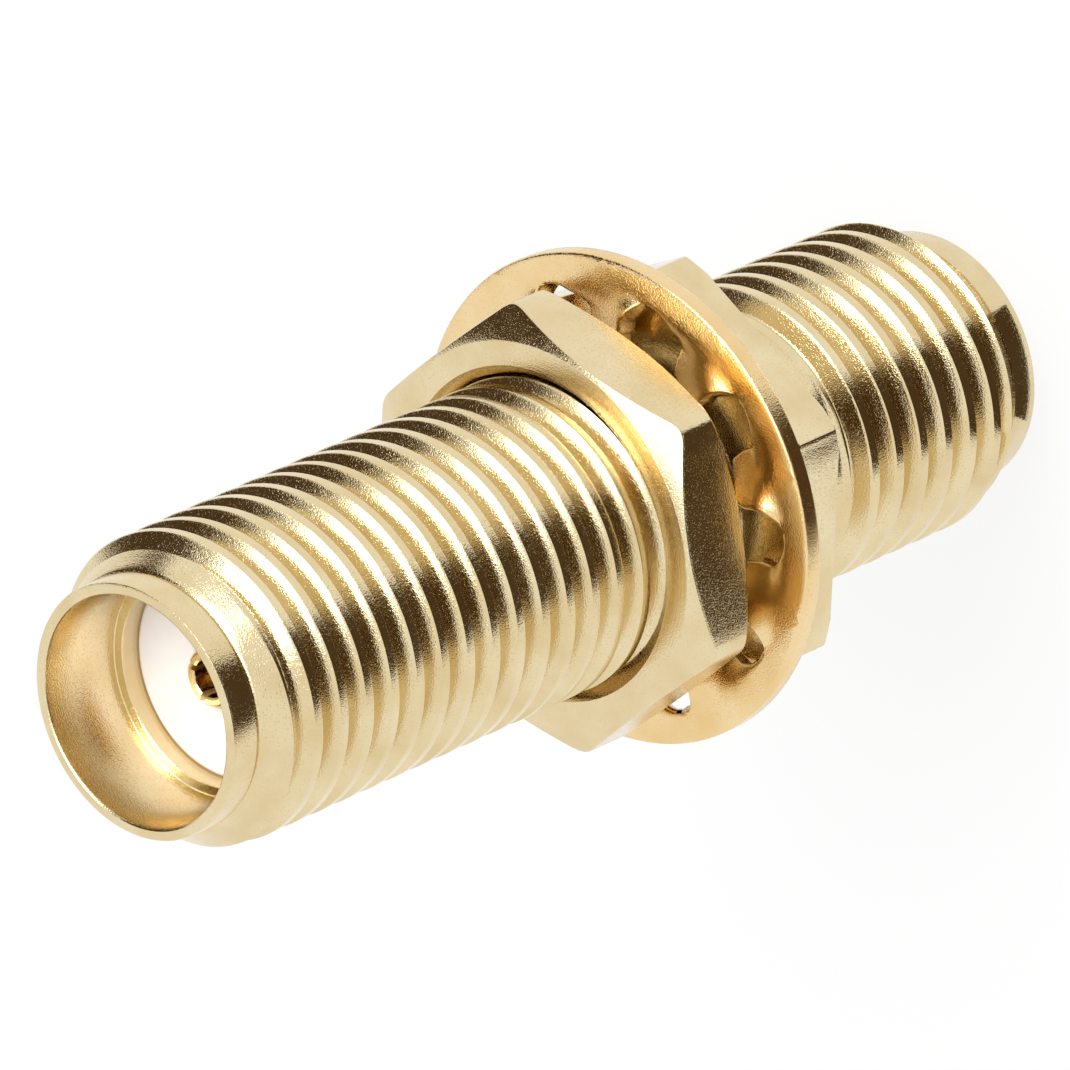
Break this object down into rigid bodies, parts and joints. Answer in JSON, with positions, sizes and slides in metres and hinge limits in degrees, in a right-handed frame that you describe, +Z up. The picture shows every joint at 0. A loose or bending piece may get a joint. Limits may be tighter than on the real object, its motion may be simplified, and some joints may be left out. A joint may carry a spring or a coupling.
{
  "type": "coaxial bulkhead adapter",
  "caption": "Gold-plated threaded coaxial adapter with a socket at each end, a hexagon flange, a lock washer and a hexagon nut.",
  "frame": {"origin": "centre of the rear end face, on which it stands", "axes": "+Z up the axis towards the front mouth, the long barrel with the nut; the flange has flats facing +X and -X"},
  "size_m": [0.01, 0.01, 0.0228],
  "materials": {
    "gold_plate": "bright turned and gold plated",
    "insulator": "smooth white fluoropolymer",
    "contact_gold": "bright gold plated",
    "washer_gold": "stamped and gold plated",
    "nut_gold": "turned hexagon bar, gold plated"
  },
  "bodies": {
    "shell": {"body": "gold_plate", "front_insulator": "insulator", "rear_insulator": "insulator", "centre_contact": "contact_gold"},
    "washer": {"lock_washer": "washer_gold"},
    "nut": {"hex_nut": "nut_gold"}
  },
  "joints": [
    {"name": "washer_spin", "type": "hinge", "parent": "shell", "child": "washer", "pos_m": [0, 0, 0.00915], "axis": [0, 0, 1], "range_deg": [-225, 5400]},
    {"name": "nut_climb", "type": "slide", "parent": "washer", "child": "nut", "axis": [0, 0, 1], "range_m": [-0.00044, 0.01058]}
  ],
  "couplings": [
    {"joint": "washer_spin", "follows": "nut_climb", "rad_per_m": 8904.7}
  ]
}
